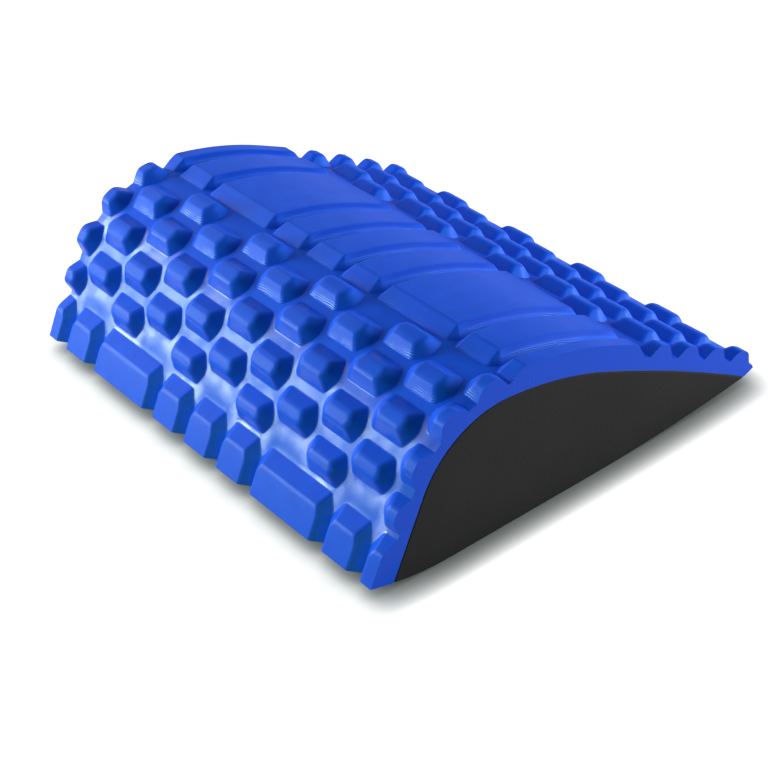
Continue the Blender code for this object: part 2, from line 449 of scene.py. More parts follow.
@dataclass(frozen=True)
class MouldedSkin(ToolMarkedFoam):
    """The blue cover's moulded skin: glossy between the treads, dull on them, lined on flanks.

    A pair of places along the cover says where a change starts and where it is complete. Values
    in threes are for the toe bars, the middle and the tail. The colour carries painted shade along
    the ribs' rims and in the tail's first groove, and painted light on near-facing flanks and along
    the cutter's lines; the bare steep sheet is painted darker and greener under its highlight.
    """

    cut_color: Color = (0.005, 0.067, 0.660)
    # Painted light: the pale cyan laid on near-facing flanks and along the cutter's lines as
    # highlights.
    painted_light_color: Color = (0.060, 0.230, 0.950)
    # Painted shade: the darker blue laid along the top of the ribs' flanks and in the tail's first
    # groove.
    painted_shade_color: Color = (0.001, 0.058, 0.600)
    # Painted: the bare steep sheet's darker, greener colour under its highlight, fading out up the
    # slope.
    sheet_color: Color = (0.004, 0.105, 0.710)
    sheet_color_fades: Point = (0.064, 0.080)
    # How much painted light the near-facing flanks get, on the bars, the middle and the tail.
    near_painted_light: Stops = (0.85, 0.16, 0.40)
    coat_ior: float = 1.6
    coat_roughness: float = 0.24
    cut_facing: Point = (0.90, 0.98)
    flank_facing: Point = (0.42, 0.66)
    bars_end: Point = (0.022, 0.029)
    tail_starts: Point = (0.219, 0.226)
    toe_gloss: float = 0.16
    toe_dulls: Point = (0.034, 0.048)
    form_gloss: Point = (0.10, 0.04)
    form_dulls: Point = (0.186, 0.207)
    low_gloss: Point = (0.48, 0.00)
    high_gloss: Point = (-0.04, 0.11)
    bevel_dulls: Point = (0.070, 0.090)
    near_gloss: Stops = (-0.08, -0.09, 0.04)
    far_gloss: Stops = (-0.10, 0.24, -0.02)
    cut_gloss: float = 0.20
    sheet_gloss: Point = (0.42, 0.90)
    sheet_dulls: Point = (0.0752, 0.0838)
    row_gloss: Stops = (1.54, 0.64, 1.30)
    row_dulls: Point = (0.038, 0.047)
    row_brightens: Point = (0.062, 0.070)
    gap_share: float = 0.26
    gap_brightens: Point = (0.0275, 0.0380)
    gap_edges: Point = (-0.3, 0.5)
    gap_pitch: float = 0.0305
    line_gloss: Point = (0.44, 0.05)
    line_strength: Point = (1.0, 0.85)
    line_edges: Point = (0.30, 0.95)
    bevel_lines: Stops = (0.062, 0.092, 0.112, 0.129)
    bevel_band: Point = (0.0013, 0.0037)
    rib_lines: Stops = (0.121, 0.140, 0.200, 0.216)
    rib_band: Stops = (0.0001, 0.0006, 0.0030, 0.0038)
    rim_band: Point = (0.0034, 0.0044)
    rib_tail_rim: Stops = (0.203, 0.208, 0.213, 0.222)
    tail_rim_share: float = 0.6
    tail_groove: Stops = (0.214, 0.223, 0.236, 0.268)
    rib_patch_size: float = 0.040
    patch_edges: Point = (0.38, 0.60)
    patch_least: float = 0.10
    sheet_edge: float = 0.0005
    sheet_grain: float = 3.0

    def material(self) -> bpy.types.Material:
        """Build the material, which reads the cover's layout map and its attributes.

        Returns:
            The material.
        """
        material, graph, shader = self.start()
        shader["Coat IOR"].default_value = self.coat_ior
        shader["Coat Roughness"].default_value = self.coat_roughness
        reading = self.read(graph)
        grain = self.grain(graph, reading.where)
        drawn = self.lines(reading)
        gloss = self.gloss(reading, grain["Cloud"])
        for share, amount in zip(drawn, self.line_gloss):
            gloss = graph.math("MULTIPLY_ADD", share, amount, gloss)
        graph.feed(shader["Coat Weight"], gloss)
        lined = graph.math("MAXIMUM", *drawn)
        graph.feed(shader["Base Color"], self.layered_color(reading, grain["Cloud"], lined))
        coarse = self.by_form(reading, self.sheet_grain, 1.0)
        grained = graph.math("MULTIPLY", grain["Height"], coarse)
        below = graph.bump(lined, self.line_depth)
        graph.feed(shader["Normal"], graph.bump(grained, self.grain_depth, below))
        return material

    def read(self, graph: Graph) -> SkinReading:
        """Read the cover's layout map and attributes.

        Args:
            graph: The material's graph.

        Returns:
            The reading.
        """
        where = graph.add("ShaderNodeUVMap", uv_map=LAYOUT_MAP).outputs["UV"]
        height, low_way, far_way = [
            graph.add("ShaderNodeAttribute", attribute_name=name).outputs["Fac"]
            for name in (HEIGHT_ATTRIBUTE, LOW_FACING, FAR_FACING)]
        high_way, near_way = [graph.math("MULTIPLY", way, -1.0) for way in (low_way, far_way)]
        cut = graph.remap(graph.math("ABSOLUTE", far_way), *self.cut_facing, 0.0, 1.0)
        moulded = graph.math("SUBTRACT", 1.0, cut)
        ways = [graph.remap(way, *self.flank_facing, 0.0, moulded)
                for way in (low_way, high_way, near_way, far_way)]
        return SkinReading(graph, where, graph.axes(where)["X"], height, *ways, cut)

    def by_form(self, reading: SkinReading, sheet: object, form: object) -> Socket:
        """Give one value on the bare sheet, and another on the raised forms."""
        return reading.graph.remap(reading.height, 0.0, self.sheet_edge, sheet, form)

    def by_place(self, reading: SkinReading, values: Stops) -> Socket:
        """Blend a value from the toe bars to the middle, and from there to the tail."""
        bars, middle, tail = values
        return reading.step(self.tail_starts, reading.step(self.bars_end, bars, middle), tail)

    def layered_color(self, reading: SkinReading, cloud: Socket, lined: Socket) -> Socket:
        """Lay colours over the plain one: the steep sheet's, painted shade on the rims and tail
        groove, the cut sides', and painted light on near flanks and along the lines.

        Args:
            reading: What the material reads.
            cloud: The clouds' share of the second colour.
            lined: The lines' share.

        Returns:
            The colour.
        """
        graph = reading.graph
        # Painted: the bare sheet of the steep side is darker and greener under its highlight, fading
        # out up the slope.
        steep_sheet = self.by_form(reading, reading.step(self.sheet_color_fades, 1.0, 0.0), 0.0)
        # Painted shade: a darker band along the top of the ribs' flanks, and in the tail's first
        # groove.
        tails = reading.stretch(self.rib_tail_rim, self.tail_rim_share)
        rimmed = graph.math("MAXIMUM", reading.sides(self.rib_lines), tails)
        rim = graph.remap(reading.height, *self.rim_band, 0.0, rimmed)
        groove = self.by_form(reading, reading.stretch(self.tail_groove, 1.0), 0.0)
        # Painted light: near-facing flanks and the cutter's lines are lightened towards a pale cyan,
        # as highlights.
        near = graph.math("MULTIPLY", self.by_place(reading, self.near_painted_light), reading.near)
        below_rim = graph.math("SUBTRACT", 1.0, rim)
        pale = graph.math("MULTIPLY", graph.math("ADD", near, lined), below_rim)
        color = self.clouded(graph, cloud)
        for share, other in ((steep_sheet, self.sheet_color), (rim, self.painted_shade_color),
                             (groove, self.painted_shade_color), (reading.cut, self.cut_color),
                             (pale, self.painted_light_color)):
            color = graph.mixed(share, color, other)
        return color

    def gloss(self, reading: SkinReading, cloud: Socket) -> Socket:
        """Say how strong the coat is without the cutter's lines.

        Args:
            reading: What the material reads.
            cloud: The clouds' share, which mottles the sheet.

        Returns:
            The coat's weight.
        """
        graph = reading.graph
        toe = reading.step(self.toe_dulls, self.toe_gloss, self.form_gloss[0])
        form = reading.step(self.form_dulls, toe, self.form_gloss[1])
        for share, more in ((reading.low, reading.step(self.bevel_dulls, *self.low_gloss)),
                            (reading.high, reading.step(self.bevel_dulls, *self.high_gloss)),
                            (reading.near, self.by_place(reading, self.near_gloss)),
                            (reading.far, self.by_place(reading, self.far_gloss))):
            form = graph.math("MULTIPLY_ADD", more, share, form)
        mottled = graph.remap(cloud, 0.0, 1.0, *self.sheet_gloss)
        steep = reading.step(self.sheet_dulls, mottled, self.form_gloss[1])
        columns = graph.math("MULTIPLY", graph.axes(reading.where)["Y"], math.pi / self.gap_pitch)
        wave = graph.math("COSINE", columns)
        open_gap = graph.remap(wave, *self.gap_edges, 1.0, self.gap_share)
        gap = reading.step(self.gap_brightens, open_gap, 1.0)
        toe_row, rows, last_row = self.row_gloss
        lower_rows = reading.step(self.row_dulls, toe_row, rows)
        row = reading.step(self.row_brightens, lower_rows, last_row)
        sheet = graph.math("MULTIPLY", steep, graph.math("MULTIPLY", gap, row))
        skin = self.by_form(reading, sheet, form)
        return graph.remap(reading.cut, 0.0, 1.0, skin, self.cut_gloss)

    def lines(self, reading: SkinReading) -> list[Socket]:
        """Draw the cutter's lines in patches: low on the bevels and on the ribs' sides.

        Args:
            reading: What the material reads.

        Returns:
            The shares of the bevels' lines and of the ribs' lines.
        """
        graph = reading.graph
        marks = self.tool_marks(graph, reading.where, reading.height)
        drawn = graph.remap(marks, *self.line_edges, 0.0, 1.0)
        bevels = reading.stretch(self.bevel_lines, reading.low)
        places = (graph.remap(reading.height, *self.bevel_band, bevels, 0.0),
                  graph.window(reading.height, self.rib_band, reading.sides(self.rib_lines)))
        found = []
        for place, strength, size in zip(places, self.line_strength,
                                         (self.cloud_size, self.rib_patch_size)):
            noise = graph.noise(reading.where, 1 / size)
            patch = graph.remap(noise, *self.patch_edges, self.patch_least, 1.0)
            line = graph.math("MULTIPLY", drawn, strength)
            found.append(graph.math("MULTIPLY", line, graph.math("MULTIPLY", patch, place)))
        return found


BLUE_SKIN = MouldedSkin(
    "blue_moulded_skin", "blue_foam", (0.004, 0.094, 0.790), (0.003, 0.082, 0.730),
    roughness=0.60, grain_size=0.0012, grain_depth=0.00004, cloud_size=0.011, specular=0.08,
    line_spacing=0.00080, line_depth=0.00020, line_wobble=2.4, wobble_size=0.0070)
BLACK_FOAM = ToolMarkedFoam(
    "black_skived_foam", "black_foam", (0.0100, 0.0080, 0.0096), (0.0064, 0.0050, 0.0062),
    roughness=0.82, grain_size=0.0011, grain_depth=0.00016, specular=0.20)
GLUE = FoamFinish(
    "dried_glue_line", "dried_glue", (0.012, 0.012, 0.016), (0.018, 0.018, 0.024),
    roughness=0.55, grain_size=0.0009, grain_depth=0.0001)


class Span(Enum):
    """How many columns a rib or bar spans."""

    NARROW = 1
    WIDE = 2


@dataclass(frozen=True)
class Flank:
    """The side of a raised form, from under the sheet's surface to the top facet."""

    height: float = 0.0061
    root_radius: float = 0.0011
    crown_radius: float = 0.0020
    root_depth: float = 0.0010
    sink: float = 0.00002
    facet_rim: float = 0.0007
    arc_steps: int = 5

    def rows(self, run: float) -> list[Point]:
        """Give the flank's section.

        Args:
            run: The flank's run from its foot to the facet's edge, had they no radius.

        Returns:
            The inset from the foot's outline and the height of each row of points.
        """
        slope = math.atan2(self.height, run)
        root, crown = [radius * math.tan(slope / 2) for radius in (self.root_radius,
                                                                   self.crown_radius)]
        angles = [slope * step / self.arc_steps for step in range(self.arc_steps + 1)]
        foot = [(-root + self.root_radius * math.sin(angle),
                 self.root_radius * (1 - math.cos(angle)) - self.sink) for angle in angles]
        top = [(run + crown - self.crown_radius * math.sin(angle),
                self.height - self.crown_radius * (1 - math.cos(angle)))
               for angle in reversed(angles)]
        return [(-root, -self.root_depth), *foot, *top, (run + crown + self.facet_rim, self.height)]


@dataclass(frozen=True)
class RaisedForm:
    """A block, rib or bar: a foot outline, mirrored about the x axis, with sloping flanks.

    The half outline runs from the corner at the low end to the corner at the high end, on the
    side of negative y. An edge's share says how far it recedes for each unit of inset.
    """

    half_outline: tuple[Point, ...]
    edge_shares: Stops
    run: float
    flank: Flank
    corner_radii: Stops
    corner_share: float = 0.42
    corner_steps: int = 5
    step: float = 0.0030

    @staticmethod
    def with_mirrored_ends(points: list[Vector]) -> list[Vector]:
        """Add the end points' mirror images, so that an edge comes before and after each."""
        low, high = points[0], points[-1]
        return [Vector((low.x, -low.y)), *points, Vector((high.x, -high.y))]

    def corners(self, inset: float) -> list[tuple[Vector, Vector, Vector]]:
        """Give the corners of the half outline at an inset.

        Args:
            inset: How far the edges have receded.

        Returns:
            For each corner, its place and the inward normals of the edges before and after it.
        """
        loop = self.with_mirrored_ends([Vector(point) for point in self.half_outline])
        edges = [(end - start).normalized() for start, end in zip(loop, loop[1:])]
        normals = [Vector((-edge.y, edge.x)) for edge in edges]
        depths = [inset * share for share in self.edge_shares]
        found = []
        for corner, before, after, less, more in zip(loop[1:], normals, normals[1:], depths,
                                                     depths[1:]):
            turn = before.x * after.y - before.y * after.x
            shift = Vector(((less * after.y - more * before.y) / turn,
                            (more * before.x - less * after.x) / turn))
            found.append((corner + shift, before, after))
        return found

    def half_ring(self, inset: float) -> list[Vector]:
        """Give the points of the half outline at an inset, with its corners rounded.

        Args:
            inset: How far the edges have receded.

        Returns:
            The points, the same number at every inset.
        """
        corners = self.corners(inset)
        loop = self.with_mirrored_ends([corner for corner, _before, _after in corners])
        sides = [(end - start).length for start, end in zip(loop, loop[1:])]
        arcs = []
        for (corner, before, after), widest, *edges in zip(corners, self.corner_radii, sides,
                                                           sides[1:]):
            room = min(edges) * self.corner_share
            radius = min(widest, room / math.tan(before.angle(after) / 2))
            centre = corner + (before + after) / (1 + before.dot(after)) * radius
            arcs.append([centre - before.slerp(after, step / self.corner_steps) * radius
                         for step in range(self.corner_steps + 1)])
        ring = list(arcs[0])
        feet = [Vector(point) for point in self.half_outline]
        for arc, start, end in zip(arcs[1:], feet, feet[1:]):
            count = max(1, round((end - start).length / self.step))
            origin = ring[-1]
            ring += [origin.lerp(arc[0], part / count) for part in range(1, count)]
            ring += arc
        return ring

    def mesh(self, name: str, base: float) -> bpy.types.Mesh:
        """Build the closed form.

        Args:
            name: The mesh's name.
            base: The height of the sheet's surface that it stands on.

        Returns:
            The mesh.
        """
        builder = bmesh.new()
        rings = []
        for inset, height in self.flank.rows(self.run):
            half = self.half_ring(inset)
            ring = half + [Vector((point.x, -point.y)) for point in reversed(half)]
            rings.append([builder.verts.new((point.x, point.y, base + height)) for point in ring])
        count = len(rings[0])
        for lower, upper in zip(rings, rings[1:]):
            for index in range(count):
                following = (index + 1) % count
                builder.faces.new((lower[index], lower[following], upper[following], upper[index]))
        for index in range(count // 2 - 1):
            for ring in (rings[0], rings[-1]):
                builder.faces.new((ring[index], ring[index + 1], ring[count - 2 - index],
                                   ring[count - 1 - index]))
        return closed_mesh(name, builder)


@dataclass
class TreadCover:
    """The blue cover: a sheet with blocks, crown ribs and toe bars moulded on it."""

    arch: Arch = Arch()
    block_flank: Flank = Flank(crown_radius=0.0050)
    long_flank: Flank = Flank(crown_radius=0.0022)
    finish: MouldedSkin = BLUE_SKIN
    width: float = 0.302
    column_pitch: float = 0.0305
    row_pitch: float = 0.0122
    columns: int = 11
    rows: int = 7
    first_steep_row: float = 0.0364
    first_tail_row: float = 0.2332
    sheet_top: float = 0.0041
    sheet_back: float = -0.00435
    sheet_thickness: float = 0.0082
    wide_column: float = 2.5
    rib_ends: Point = (0.1207, 0.2190)
    rib_corner: Point = (0.0062, 0.0034)
    bar_ends: Point = (-0.0217, 0.0244)
    bar_corner: Point = (0.0097, 0.00525)
    toe_lean: float = 0.19
    tip_lean: float = 0.70
    tip_chamfer: float = 0.0030
    trim_levels: Point = (-0.015, 0.020)
    grid_step: float = 0.0030
    swell: float = 0.0003
    swell_scale: float = 28.0
    edge_dip: float = 0.0011
    edge_dip_reach: float = 0.0070
    edge_dip_height: float = 0.0040
    edge_dip_top: float = 0.0005
    sharp_angle: float = math.radians(38)

    def block(self) -> RaisedForm:
        """Give the six-sided block, with well rounded flanks.

        Returns:
            The form, centred on its grid point.
        """
        half_length, half_edge, half_width = 0.0097, 0.0116, 0.0171
        outline = ((-half_length, -half_edge), (0.0, -half_width), (half_length, -half_edge))
        radii = (0.0036, 0.0080, 0.0036)
        return RaisedForm(outline, (1.0,) * 4, self.block_flank.height, self.block_flank, radii)

    def long_form(self, span: Span, ends: Point, chamfer: Point) -> RaisedForm:
        """Give a rib or bar, centred across.

        Args:
            span: How many columns it spans.
            ends: Where it starts and ends along the cover.
            chamfer: How far its cut corners reach, along and across.

        Returns:
            The form.
        """
        side_run, end_share, chamfer_share = 0.0052, 1.69, 1.16
        half_width = self.column_pitch / 2 * span.value
        corner, edge = chamfer[0], half_width - chamfer[1]
        start, end = ends
        outline = ((start, -edge), (start + corner, -half_width), (end - corner, -half_width),
                   (end, -edge))
        shares = (end_share, chamfer_share, 1.0, chamfer_share, end_share)
        radii = (0.0026, 0.0060, 0.0060, 0.0026)
        return RaisedForm(outline, shares, side_run, self.long_flank, radii)

    def trimmer(self) -> bpy.types.Mesh:
        """Build the closed shape that the oversize cover is cut to.

        Returns:
            The mesh, in strips along the cover so that the cut sides can bend.
        """
        length = self.arch.length()
        glue_side = self.sheet_top - self.sheet_thickness
        nose = (self.tip_chamfer + self.sheet_top + self.tip_lean * glue_side) / (1 + self.tip_lean)
        bottom, top = self.trim_levels
        levels = (bottom, nose, top)
        tip_ends = (length + self.tip_lean * (bottom - glue_side),
                    length + self.tip_lean * (nose - glue_side),
                    length + self.tip_chamfer - (top - self.sheet_top))
        toe_ends = [-self.toe_lean * (level - glue_side) for level in levels]
        count = round(length / self.grid_step)
        builder = bmesh.new()
        near, far = [[[builder.verts.new((toe + (tip - toe) * part / count, y, level))
                       for part in range(count + 1)]
                      for level, toe, tip in zip(levels, toe_ends, tip_ends)]
                     for y in (-self.width / 2, self.width / 2)]
        strips = [pair for side in (near, far) for pair in zip(side, side[1:])]
        strips += [(near[0], far[0]), (near[-1], far[-1])]
        for part in (0, count):
            ends = [[row[part] for row in side] for side in (near, far)]
            strips.append(tuple(ends))
        for low, high in strips:
            for index in range(len(low) - 1):
                builder.faces.new((low[index], low[index + 1], high[index + 1], high[index]))
        return closed_mesh("trimmer", builder)

    def values(self) -> dict[str, object]:
        """Give the layout tree what it works with.

        Returns:
            The value of each of its named inputs.
        """
        start = self.bar_ends[0] + self.grid_step
        end = self.arch.length() + self.column_pitch
        forms = {"Block": self.block()}
        for kind, places in (("Rib", (self.rib_ends, self.rib_corner)),
                             ("Bar", (self.bar_ends, self.bar_corner))):
            for span in Span:
                forms[f"{span.name.title()} {kind}"] = self.long_form(span, *places)
        meshes = {name: form.mesh(name, self.sheet_top) for name, form in forms.items()}
        meshes["Trimmer"] = self.trimmer()
        return {
            **{name: bpy.data.objects.new(name, mesh) for name, mesh in meshes.items()},
            "Column Pitch": self.column_pitch, "Row Pitch": self.row_pitch,
            "Columns": self.columns, "Rows": self.rows,
            "First Steep Row": self.first_steep_row, "First Tail Row": self.first_tail_row,
            "Sheet Size": (end - start, self.width + 2 * self.column_pitch,
                           self.sheet_top - self.sheet_back),
            "Sheet Centre": ((start + end) / 2, 0.0, (self.sheet_top + self.sheet_back) / 2),
            "Sheet Top": self.sheet_top, "Grid Step": self.grid_step, "Swell": self.swell,
            "Edge Dip": self.edge_dip, "Bend Start": self.arch.steep_length,
            "Place": self.arch.place(), "Turn": (0.0, -self.arch.steep_angle, 0.0),
            "Material": self.finish.material(),
        }

    def build(self) -> bpy.types.Object:
        """Build the cover.

        Returns:
            The finished piece, which rides on the body and stands for its CAD node.
        """
        values = self.values()
        kinds = {bpy.types.Object: "Object", bpy.types.Material: "Material", float: "Float",
                 int: "Int", tuple: "Vector", Vector: "Vector"}
        inputs = {name: "NodeSocket" + kinds[type(value)] for name, value in values.items()}
        geometry = {"Geometry": "NodeSocketGeometry"}
        graph, given, out = new_group("Tread Cover", "GeometryNodeTree", geometry | inputs, geometry)
        graph.feed(out["Geometry"], CoverLayout(self, graph, given).shape())
        piece = baked("blue_tread_cover", graph.tree, values)
        weighted = piece.modifiers.new("flat_faces", "WEIGHTED_NORMAL")
        weighted.mode, weighted.keep_sharp = "FACE_AREA", True
        flatten_modifiers(piece, self.sharp_angle)
        return settle(piece, "tread_cover")


@dataclass
class CoverLayout:
    """The Geometry Nodes tree that lays the cover out flat, unites it, cuts it and bends it."""

    cover: TreadCover
    graph: Graph
    given: bpy.types.NodeOutputs

    def node(self, kind: str, inputs: dict[str, object], **settings: object) -> Socket:
        """Add a geometry node and give its first output."""
        return self.graph.add("GeometryNode" + kind, inputs, **settings).outputs[0]

    def shape(self) -> Socket:
        """Write the whole tree.

        Returns:
            The finished cover.
        """
        laid = [*self.blocks(), *self.long_rows(), self.sheet()]
        united = self.node("MeshBoolean", {"Mesh 2": laid}, operation="UNION", solver="MANIFOLD")
        cut = self.node("MeshBoolean", {"Mesh 2": [united, self.source("Trimmer")]},
                        operation="INTERSECT", solver="MANIFOLD")
        bent = self.bent(self.swollen(self.mapped(cut)))
        placed = self.node("Transform", {"Geometry": bent, "Translation": self.given["Place"],
                                         "Rotation": self.given["Turn"]})
        realized = self.node("RealizeInstances", {"Geometry": placed})
        return self.node("SetMaterial", {"Geometry": realized, "Material": self.given["Material"]})

    def source(self, name: str) -> Socket:
        """Give the geometry of an object input."""
        return self.graph.add("GeometryNodeObjectInfo", {
            "Object": self.given[name]}).outputs["Geometry"]

    def instances(self, points: Socket, name: str) -> Socket:
        """Set the form that an object input holds on each of some points."""
        return self.node("InstanceOnPoints", {"Points": points, "Instance": self.source(name)})

    def blocks(self) -> list[Socket]:
        """Set the block on every second point of a grid, on the steep side and on the tail.

        Returns:
            The two fields of blocks.
        """
        graph, given = self.graph, self.given
        size_x, size_y = [
            graph.math("MULTIPLY", given[pitch], graph.math("SUBTRACT", given[count], 1.0))
            for pitch, count in (("Row Pitch", "Rows"), ("Column Pitch", "Columns"))]
        grid = self.node("MeshGrid", {"Size X": size_x, "Size Y": size_y,
                                      "Vertices X": given["Rows"], "Vertices Y": given["Columns"]})
        odd = graph.math("MODULO", self.node("InputIndex", {}), 2.0)
        thinned = self.node("DeleteGeometry", {"Geometry": grid, "Selection": odd})
        fields = []
        for row in ("First Steep Row", "First Tail Row"):
            middle = graph.vector(X=graph.math("MULTIPLY_ADD", size_x, 0.5, given[row]))
            moved = self.node("Transform", {"Geometry": thinned, "Translation": middle})
            fields.append(self.instances(moved, "Block"))
        return fields

    def line(self, count: object, reach: Socket, step: Socket) -> Socket:
        """Lay points a step apart in a line across the cover, the first one at minus the reach."""
        first = self.graph.vector(Y=self.graph.math("MULTIPLY", reach, -1.0))
        return self.node("MeshLine", {"Count": count, "Start Location": first,
                                      "Offset": self.graph.vector(Y=step)})

    def long_rows(self) -> list[Socket]:
        """Set the ribs and bars in their columns: wide ones on columns 2 and 3, narrow elsewhere.

        Returns:
            The four rows.
        """
        graph, pitch = self.graph, self.given["Column Pitch"]
        spaces = graph.math("SUBTRACT", self.given["Columns"], 1.0)
        half = graph.math("MULTIPLY", pitch, graph.math("MULTIPLY", spaces, 0.5))
        line = self.line(self.given["Columns"], half, pitch)
        across = graph.axes(self.node("InputPosition", {}))["Y"]
        column = graph.math("DIVIDE", graph.math("ABSOLUTE", across), pitch)
        taken = graph.math("COMPARE", column, self.cover.wide_column, 1.0)
        narrow = self.node("DeleteGeometry", {"Geometry": line, "Selection": taken})
        middle = graph.math("MULTIPLY", pitch, self.cover.wide_column)
        wide = self.line(2, middle, graph.math("MULTIPLY", middle, 2.0))
        return [self.instances(points, f"{span} {kind}")
                for points, span in ((narrow, "Narrow"), (wide, "Wide")) for kind in ("Rib", "Bar")]

    def sheet(self) -> Socket:
        """Lay the oversize sheet as a slab with a square grid.

        Returns:
            The slab.
        """
        size, step = self.given["Sheet Size"], self.given["Grid Step"]
        count_x, count_y = [self.graph.math("ROUND", self.graph.math("DIVIDE", side, step))
                            for side in self.graph.axes(size)[:2]]
        slab = self.node("MeshCube", {"Size": size, "Vertices X": count_x, "Vertices Y": count_y,
                                      "Vertices Z": 2})
        return self.node("Transform", {"Geometry": slab, "Translation": self.given["Sheet Centre"]})

    def mapped(self, shape: Socket) -> Socket:
        """Store the flat layout as a map, and the height and each face's way as attributes.

        Args:
            shape: The flat cover.

        Returns:
            The flat cover with all of them stored.
        """
        graph = self.graph
        position = self.node("InputPosition", {})
        height = graph.math("SUBTRACT", graph.axes(position)["Z"], self.given["Sheet Top"])
        way = graph.axes(self.node("InputNormal", {}))
        low_way = graph.math("MULTIPLY", way["X"], -1.0)
        for name, value, kind, domain in ((HEIGHT_ATTRIBUTE, height, "FLOAT", "POINT"),
                                          (LOW_FACING, low_way, "FLOAT", "FACE"),
                                          (FAR_FACING, way["Y"], "FLOAT", "FACE"),
                                          (LAYOUT_MAP, position, "FLOAT2", "CORNER")):
            shape = self.node("StoreNamedAttribute",
                              {"Geometry": shape, "Name": name, "Value": value},
                              data_type=kind, domain=domain)
        return shape

    def swollen(self, shape: Socket) -> Socket:
        """Let the flat faces swell and sink a little, and the notches dip to the cut sides.

        Args:
            shape: The flat cover.

        Returns:
            The swollen cover.
        """
        graph, given, cover = self.graph, self.given, self.cover
        position = self.node("InputPosition", {})
        noise = graph.noise(position, cover.swell_scale, detail=1.0)
        centred = graph.math("SUBTRACT", noise, 0.5)
        amount = graph.math("MULTIPLY", graph.math("MULTIPLY", centred, given["Swell"]), 2.0)
        axes = graph.axes(position)
        half_width = cover.width / 2
        side = graph.remap(graph.math("ABSOLUTE", axes["Y"]), half_width - cover.edge_dip_reach,
                           half_width, 0.0, given["Edge Dip"])
        height = graph.math("SUBTRACT", axes["Z"], given["Sheet Top"])
        under = graph.remap(height, -cover.edge_dip_height, -cover.edge_dip_top, 0.0, side)
        dip = graph.remap(height, 0.0, cover.edge_dip_height, under, 0.0)
        shift = graph.vector(Z=graph.math("SUBTRACT", amount, dip))
        return self.node("SetPosition", {"Geometry": shape, "Offset": shift})

    def bent(self, shape: Socket) -> Socket:
        """Bend the flat cover round its arcs, the one at the tip first.

        Args:
            shape: The flat cover.

        Returns:
            The bent cover.
        """
        bends = self.cover.arch.bends()
        for index, (length, turn) in reversed(list(enumerate(bends))):
            before = sum(length for length, _turn in bends[:index])
            begin = self.graph.math("ADD", self.given["Bend Start"], before)
            shape = self.node("Group", {"Geometry": shape, "Start": begin, "Length": length,
                                        "Angle": turn}, node_tree=bend_down())
        return shape


@cache
def bend_down() -> bpy.types.NodeTree:
    """Build the Geometry Nodes group that bends what lies past a line downwards, once.

    Returns:
        The group's tree.
    """
    geometry = {"Geometry": "NodeSocketGeometry"}
    graph, given, out = new_group("Bend Down", "GeometryNodeTree",
                                  {**geometry, "Start": 0.0, "Length": 0.1, "Angle": 1.0}, geometry)
    axes = graph.axes(graph.add("GeometryNodeInputPosition").outputs[0])
    reach = graph.math("SUBTRACT", axes["X"], given["Start"])
    rolled = graph.math("MINIMUM", graph.math("MAXIMUM", reach, 0.0), given["Length"])
    left = graph.math("SUBTRACT", reach, rolled)
    radius = graph.math("DIVIDE", given["Length"], given["Angle"])
    turn = graph.math("DIVIDE", rolled, radius)
    sine, cosine = graph.math("SINE", turn), graph.math("COSINE", turn)
    lever = graph.math("ADD", radius, axes["Z"])
    along = graph.math("ADD", graph.math("MULTIPLY_ADD", lever, sine, given["Start"]),
                       graph.math("MULTIPLY", left, cosine))
    up = graph.math("SUBTRACT", graph.math("MULTIPLY", lever, cosine),
                    graph.math("MULTIPLY_ADD", left, sine, radius))
    moved = graph.add("GeometryNodeSetPosition", {
        "Geometry": given["Geometry"], "Position": graph.vector(X=along, Y=axes["Y"], Z=up)})
    graph.feed(out["Geometry"], moved.outputs[0])
    return graph.tree


def baked(name: str, tree: bpy.types.NodeTree, values: dict[str, object]) -> bpy.types.Object:
    """Run a geometry tree and keep its result as a plain mesh.

    Args:
        name: The piece's name.
        tree: The geometry tree.
        values: The value of each named input. Objects among them are removed afterwards.

    Returns:
        The new object.
    """
    carrier = shown(name + "_carrier", bpy.data.meshes.new(name + "_carrier"))
    modifier = carrier.modifiers.new("layout", "NODES")
    modifier.node_group = tree
    for item in tree.interface.items_tree:
        if item.name in values:
            modifier[item.identifier] = values[item.name]
    graph = bpy.context.evaluated_depsgraph_get()
    mesh = bpy.data.meshes.new_from_object(carrier.evaluated_get(graph))
    mesh.name = name
    carrier.modifiers.remove(modifier)
    helpers = [value for value in values.values() if isinstance(value, bpy.types.Object)]
    for spent in (carrier, *helpers):
        bpy.data.objects.remove(spent)
    return shown(name, mesh)


def flatten_modifiers(piece: bpy.types.Object, sharp_angle: float) -> None:
    """Shade a piece smooth but for its sharp edges, and turn its modifiers into plain mesh.

    Args:
        piece: The piece.
        sharp_angle: The angle from which an edge is sharp.
    """
    piece.data.shade_smooth()
    piece.data.set_sharp_from_angle(angle=sharp_angle)
    graph = bpy.context.evaluated_depsgraph_get()
    mesh = bpy.data.meshes.new_from_object(piece.evaluated_get(graph))
    piece.modifiers.clear()
    piece.data = mesh


def settle(piece: bpy.types.Object, node: str) -> bpy.types.Object:
    """Say what a finished piece stands for, and let it ride on the body.

    Args:
        piece: The piece.
        node: The CAD node that it replaces.

    Returns:
        The piece.
    """
    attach(piece, BODY)
    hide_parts(node)
    LOG.info("%s: %d faces, stands for %s", piece.name, len(piece.data.polygons), node)
    return piece


def extruded(name: str, outline: list[Point], width: float, material: bpy.types.Material
             ) -> bpy.types.Object:
    """Extrude an x-z outline across the body.

    Args:
        name: The piece's name.
        outline: The outline's points.
        width: How wide the piece is, centred on Y = 0.
        material: Its material.

    Returns:
        The new object.
    """
    builder = bmesh.new()
    face = builder.faces.new([builder.verts.new((x, -width / 2, z)) for x, z in outline])
    grown = bmesh.ops.extrude_face_region(builder, geom=[face])
    moved = [item for item in grown["geom"] if isinstance(item, bmesh.types.BMVert)]
    bmesh.ops.translate(builder, verts=moved, vec=(0.0, width, 0.0))
    mesh = closed_mesh(name, builder)
    mesh.materials.append(material)
    return shown(name, mesh)


